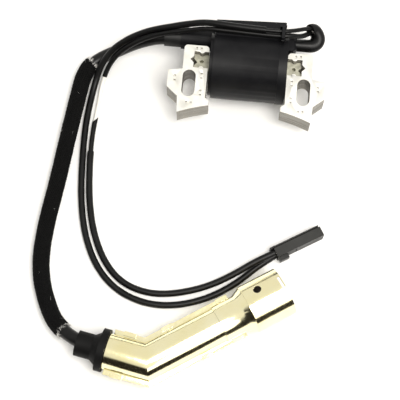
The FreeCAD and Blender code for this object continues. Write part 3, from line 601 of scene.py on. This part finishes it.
def braid_strands(track, start, end):
    """Flat yarns wound both ways round the lead, each going over and under the ones it meets."""
    crossings = (end - start) * 2 * BRAID_CARRIERS / BRAID_PITCH
    distances = np.linspace(start, end, int(crossings * SAMPLES_PER_CROSSING))
    place, side, other = track.at(distances)
    along = distances - start
    section = [(math.cos(a), math.sin(a)) for a in np.arange(YARN_SIDES) * math.pi / (YARN_SIDES / 2)]
    strands = []
    for way in (1, -1):
        weave = way * BRAID_WEAVE * np.cos(math.pi * 2 * BRAID_CARRIERS * along / BRAID_PITCH)
        for carrier in range(BRAID_CARRIERS):
            turn = 2 * math.pi * (carrier / BRAID_CARRIERS + way * along / BRAID_PITCH)
            loose = rng.uniform(-0.00007, 0.00009)
            wander = 0.02 * np.sin(along * rng.uniform(300, 700) + rng.uniform(0, 6))
            corners = []
            for across, up in section:
                radius = BRAID_RADIUS + weave + loose + up * YARN_HALF_HEIGHT
                angle = turn + wander + across * YARN_HALF_WIDTH / BRAID_RADIUS
                sideways = side * (radius * np.cos(angle))[:, None]
                upwards = other * (radius * np.sin(angle))[:, None]
                corners.append(place + sideways + upwards)
            strands.append(np.stack(corners, axis=1).reshape(-1, 3))
    return strands


def make_braid(track, start, end):
    """The braid as one mesh of closed yarns."""
    strands = braid_strands(track, start, end)
    vertices = np.concatenate(strands)
    per_strand = len(strands[0])
    faces = []
    for strand in range(len(strands)):
        base = strand * per_strand
        rings = ring_faces(per_strand // YARN_SIDES, YARN_SIDES)
        faces += [tuple(base + v for v in face) for face in rings]
        faces.append(tuple(base + v for v in range(YARN_SIDES - 1, -1, -1)))
        faces.append(tuple(base + per_strand - YARN_SIDES + v for v in range(YARN_SIDES)))
    return smooth_mesh("lead_braid_yarns", vertices, faces, 180)


braid_start, braid_end = span("lead_braid", lead_track)
braid = add_piece("lead_braid_yarns", make_braid(lead_track, braid_start, braid_end), YARN,
                  replaces=("lead_braid",))


HAIR_SIDES = 3
HAIR_TAPER = 0.6


def hairs(name, roots):
    """Thin tapering threads, each given as a list of points and a radius. None goes under the floor."""
    vertices, faces = [], []
    for points, radius in roots:
        line = Track(points)
        base = len(vertices)
        for i, (place, side, other) in enumerate(zip(*line.at(line.lengths))):
            taper = radius * (1 - HAIR_TAPER * i / (len(points) - 1))
            for j in range(HAIR_SIDES):
                turn = 2 * math.pi * j / HAIR_SIDES
                spot = place + (side * math.cos(turn) + other * math.sin(turn)) * taper
                vertices.append((spot[0], spot[1], max(spot[2], FLOOR_Z)))
        faces += [tuple(base + v for v in face) for face in ring_faces(len(points), HAIR_SIDES)]
        faces.append(tuple(base + v for v in range(HAIR_SIDES - 1, -1, -1)))
        faces.append(tuple(len(vertices) - HAIR_SIDES + v for v in range(HAIR_SIDES)))
    return smooth_mesh(name, vertices, faces, 180)


def fray(track, distance, outwards, count):
    """Cut thread ends standing out round one end of the braid."""
    threads = []
    place, side, other = (values[0] for values in track.at(distance))
    tangent = np.cross(other, side) * outwards
    if np.dot(tangent, track.at(distance + 0.001 * outwards)[0][0] - place) < 0:
        tangent = -tangent
    for _ in range(count):
        turn = rng.uniform(0, 2 * math.pi)
        out = side * math.cos(turn) + other * math.sin(turn)
        around = np.cross(out, tangent)
        length = rng.uniform(0.0006, 0.0022)
        flare, bend = rng.uniform(0.05, 0.55), rng.uniform(-0.5, 0.5)
        rise, back = rng.uniform(-0.0003, 0.0002), rng.uniform(0.0004, 0.0012)
        root = place + out * (BRAID_RADIUS + rise) - tangent * back
        points = []
        for t in (0.0, 0.35, 0.7, 1.0):
            lift = out * flare * length * t * t + around * bend * length * t * t
            points.append(root + tangent * length * (0.4 + t) + lift)
        threads.append((points, rng.uniform(0.00007, 0.00013)))
    return threads


def fuzz(track, start, end, count):
    """Loose filaments lying over the braid."""
    threads = []
    for _ in range(count):
        distance = rng.uniform(start, end)
        place, side, other = (values[0] for values in track.at(distance))
        turn = rng.uniform(0, 2 * math.pi)
        out = side * math.cos(turn) + other * math.sin(turn)
        tangent = np.cross(side, other)
        around = np.cross(out, tangent)
        heading = rng.uniform(0, 2 * math.pi)
        way = tangent * math.cos(heading) + around * math.sin(heading)
        length, lift = rng.uniform(0.0008, 0.0022), rng.uniform(0.0001, 0.0005)
        root = place + out * (BRAID_RADIUS + BRAID_WEAVE)
        points = [
            root + way * length * t + out * lift * math.sin(math.pi * t * 0.8)
            for t in (0, 0.3, 0.6, 1.0)
        ]
        threads.append((points, rng.uniform(0.00002, 0.00004)))
    return threads


top_fray = add_piece("braid_fray_top", hairs("braid_fray_top", fray(lead_track, braid_start, -1, 110)),
                     FRAYED)
bottom_fray = add_piece("braid_fray_bottom", hairs("braid_fray_bottom", fray(lead_track, braid_end, 1, 130)),
                        FRAYED)
braid_fuzz = add_piece("braid_fuzz", hairs("braid_fuzz", fuzz(lead_track, braid_start, braid_end, 520)),
                       YARN)
braid_lint = add_piece("braid_lint", hairs("braid_lint", fuzz(lead_track, braid_start, braid_end, 26)),
                       FRAYED)


# Wires and their sleeves -------------------------------------------------------------------------

add_piece("black_wire", wire_1, BLACK_WIRE, replaces=("primary_wire_1",))
add_piece("white_wire", wire_2, WHITE_WIRE, replaces=("primary_wire_2",))


SLEEVE_STEP = 0.0005
SLEEVE_AROUND = 32
SLANT_REACH = 0.006
BOW, BOW_RATE = 0.012, 210
SQUASH, SQUASH_RATE = 0.010, 640
CUT_EDGE = 0.00015


def sleeve_mesh(name, track, start, end, outer, inner, shape=None, start_slant=0.0):
    """A hollow sleeve: outer wall, cut end, inner wall, cut end. shape adds to both walls' radii."""
    distances = np.linspace(start, end, max(8, int((end - start) / SLEEVE_STEP)))
    # Four of the six are used. The other two keep later draws the same.
    phases = [rng.uniform(0, 6) for _ in range(6)]
    turns = 2 * math.pi * np.arange(SLEEVE_AROUND) / SLEEVE_AROUND

    def ring(distance, radius, slant):
        spread = distance + slant * radius * np.cos(turns)
        place, side, other = track.at(np.clip(spread, 0, track.length))
        wobble = 1 + BOW * np.sin(distance * BOW_RATE + phases[0]) * np.cos(turns + phases[1])
        wobble += SQUASH * np.sin(distance * SQUASH_RATE + phases[2]) * np.cos(2 * turns + phases[3])
        grown = radius * wobble
        if shape:
            grown = grown + shape(distance, turns)
        sideways = side * (grown * np.cos(turns))[:, None]
        upwards = other * (grown * np.sin(turns))[:, None]
        return place + sideways + upwards

    def slant_at(distance):
        return start_slant * max(0.0, 1 - (distance - start) / SLANT_REACH)

    edge = min(CUT_EDGE, (outer - inner) / 3)
    rings = [ring(start, outer - edge, start_slant)]
    rings += [ring(d, outer, slant_at(d)) for d in distances[1:-1]]
    rings += [ring(end, outer - edge, 0.0), ring(end, inner, 0.0)]
    rings += [ring(d, inner, slant_at(d)) for d in distances[-2:0:-1]]
    rings.append(ring(start, inner, start_slant))
    vertices = np.concatenate(rings)
    return smooth_mesh(name, vertices, ring_faces(len(rings), SLEEVE_AROUND, closed=True), 40)


def add_sleeve(name, node, track, diameter, **shape):
    """A vinyl sleeve where its CAD node lies, in place of the node."""
    start, end = span(node, track)
    data = sleeve_mesh(name, track, start, end, diameter / 2, SLEEVE_BORE / 2, **shape)
    return add_piece(name, data, VINYL, replaces=(node,))


THIN_SLEEVE = 0.0025
THICK_SLEEVE = 0.0033
SLEEVE_BORE = 0.00224

sleeve_1 = add_sleeve("sleeve_black_wire", "wire_sleeve_1", wire_1_track, THICK_SLEEVE)
sleeve_2_upper = add_sleeve("sleeve_white_wire_upper", "wire_sleeve_2_upper", wire_2_track, THIN_SLEEVE)
sleeve_2_thin = add_sleeve("sleeve_white_wire_thin", "wire_sleeve_2_thin", wire_2_track, THIN_SLEEVE,
                           start_slant=1.3)
sleeve_2_lower = add_sleeve("sleeve_white_wire_lower", "wire_sleeve_2_lower", wire_2_track, THICK_SLEEVE)


# The wires' exit sleeve --------------------------------------------------------------------------

EXIT_OUTER = 0.0032
EXIT_INNER = 0.0028
EXIT_REACH = 0.032
EXIT_CORNER = (0.0338, 0.0290, 0.0100)
FOLD_LENGTH = 0.0035
CREASE_DEPTH, CREASE_RATE = 0.00025, 4200
FOLD_FLATTENING = 0.0003
FOLD_PINCH = 0.0006

exit_steps = np.linspace(0, EXIT_REACH, 160)
exit_track = Track([
    (a + b) / 2 for a, b in zip(wire_1_track.at(exit_steps)[0], wire_2_track.at(exit_steps)[0])
])
EXIT_START, EXIT_END = span("exit_sleeve", exit_track)
EXIT_KINK = exit_track.nearest(EXIT_CORNER)


def exit_shape(distance, turns):
    """Creases across the fold, and the pinched corner on its outside."""
    near = math.exp(-((distance - EXIT_KINK) / FOLD_LENGTH) ** 2)
    creases = CREASE_DEPTH * np.sin(distance * CREASE_RATE) * np.clip(-np.cos(turns), 0, 1) * near
    flattened = FOLD_FLATTENING * near * np.cos(2 * turns)
    pinched = FOLD_PINCH * near * np.clip(np.cos(turns), 0, 1) ** 3
    return creases + flattened + pinched


exit_piece = add_piece(
    "exit_sleeve_folded",
    sleeve_mesh("exit_sleeve_folded", exit_track, EXIT_START, EXIT_END, EXIT_OUTER, EXIT_INNER, exit_shape),
    VINYL, replaces=("exit_sleeve",))


# Plug cap ----------------------------------------------------------------------------------------

ELBOW = Vector((-0.0354, -0.1381, 0.0))
ARM = Vector((0.83867, 0.54464, 0.0))
INLET = Vector((0.98325, -0.18224, 0.0))
FACING_IN = -0.35


def inner_faces(mesh):
    """Marks the faces that look in towards the cap's bent axis; these take the painted shade of the shield's
    inside.
    """
    for face in mesh.faces:
        offset = face.calc_center_median() - ELBOW
        axis = ARM if offset.dot(ARM) > -offset.dot(INLET) else INLET
        outwards = offset - axis * offset.dot(axis)
        face.material_index = 1 if face.normal.dot(outwards.normalized()) < FACING_IN else 0


soften("cap_boot", BOOT, width=0.0006, segments=3)
for node in ("shield_upper", "shield_lower"):
    soften(node, (TIN, SHADE_PAINTED_TIN), CAP, width=0.00012, angle=40, change=inner_faces)
soften("shield_socket", (TIN, SHADE_PAINTED_TIN), CAP, width=0.00015, angle=40, change=inner_faces)
soften("cap_insulator", PHENOLIC, CAP, width=0.0004)
soften("socket_seal", SEAL, CAP, width=0.0003)
soften("plug_clip", BRASS, CAP, width=0.00015)
finish_node("lead_screw", PLATED)
finish_node("suppressor_resistor", CERAMIC)
finish_node("resistor_spring", PLATED)


# Connector ---------------------------------------------------------------------------------------

soften("connector_housing", CONNECTOR, width=0.00025)
soften("connector_latch", CONNECTOR, LATCH, width=0.0002)
for number in (1, 2):
    finish_node(f"connector_terminal_{number}", BRASS)


# Floor, light and surroundings -------------------------------------------------------------------

FLOOR_HALF = 3.0
LIGHTS_AIM = (-0.02, -0.05, 0)
ROOM_STRENGTH = 0.85
ROOM_COLOR = (1.0, 0.985, 0.95, 1.0)
DARK_COLOR = (0.02, 0.018, 0.016, 1.0)
DARK_FRONT = (-0.50, -0.20)
DARK_TOP = (0.66, 0.86)


def make_floor():
    """A plain white sheet."""
    data = bpy.data.meshes.new("floor")
    signs = ((-1, -1), (1, -1), (1, 1), (-1, 1))
    corners = [(FLOOR_HALF * x, FLOOR_HALF * y, FLOOR_Z) for x, y in signs]
    data.from_pydata(corners, [], [(0, 1, 2, 3)])
    finish = Finish("white_floor", (0.93, 0.925, 0.91), 0.9, specular=0.1)
    finish.colors(finish.noise(1.4, 2), 0.3, 0.7, (0.93, 0.925, 0.915), (0.94, 0.938, 0.93))
    data.materials.append(finish.material)
    floor = bpy.data.objects.new("floor", data)
    bpy.context.collection.objects.link(floor)


def area_light(name, place, target, size, power, color):
    """A soft box aimed at a point."""
    data = bpy.data.lights.new(name, "AREA")
    data.shape = "DISK"
    data.size = size
    data.energy = power
    data.color = color
    light = bpy.data.objects.new(name, data)
    light.location = place
    light.rotation_mode = "QUATERNION"
    light.rotation_quaternion = (Vector(target) - Vector(place)).to_track_quat("-Z", "Y")
    bpy.context.collection.objects.link(light)


def make_world():
    """A bright, slightly warm room whose front is nearly black, up to 40 to 60 degrees high."""
    world = bpy.data.worlds.new("room")
    world.use_nodes = True
    tree = world.node_tree
    way = tree.nodes.new("ShaderNodeSeparateXYZ")
    tree.links.new(tree.nodes.new("ShaderNodeTexCoord").outputs["Generated"], way.inputs[0])

    def stepped(socket, low, high, first, last):
        node = tree.nodes.new("ShaderNodeMapRange")
        node.interpolation_type = "SMOOTHSTEP"
        for name, value in zip(("From Min", "From Max", "To Min", "To Max"), (low, high, first, last)):
            node.inputs[name].default_value = value
        tree.links.new(socket, node.inputs["Value"])
        return node.outputs["Result"]

    front = stepped(way.outputs["Y"], *DARK_FRONT, 1.0, 0.0)
    low = stepped(way.outputs["Z"], *DARK_TOP, 1.0, 0.0)
    both = tree.nodes.new("ShaderNodeMath")
    both.operation = "MULTIPLY"
    tree.links.new(front, both.inputs[0])
    tree.links.new(low, both.inputs[1])
    mix = tree.nodes.new("ShaderNodeMix")
    mix.data_type = "RGBA"
    tree.links.new(both.outputs[0], mix.inputs["Factor"])
    mix.inputs["A"].default_value = ROOM_COLOR
    mix.inputs["B"].default_value = DARK_COLOR
    background = tree.nodes["Background"]
    tree.links.new(mix.outputs["Result"], background.inputs["Color"])
    background.inputs["Strength"].default_value = ROOM_STRENGTH
    bpy.context.scene.world = world


make_floor()
make_world()
area_light("key", (0.20, -0.22, 0.95), LIGHTS_AIM, 0.5, 7.5, (1.0, 0.97, 0.92))
area_light("fill", (0.35, -0.5, 0.6), LIGHTS_AIM, 0.6, 2.0, (1.0, 0.98, 0.95))
bpy.context.scene.view_settings.view_transform = "Standard"
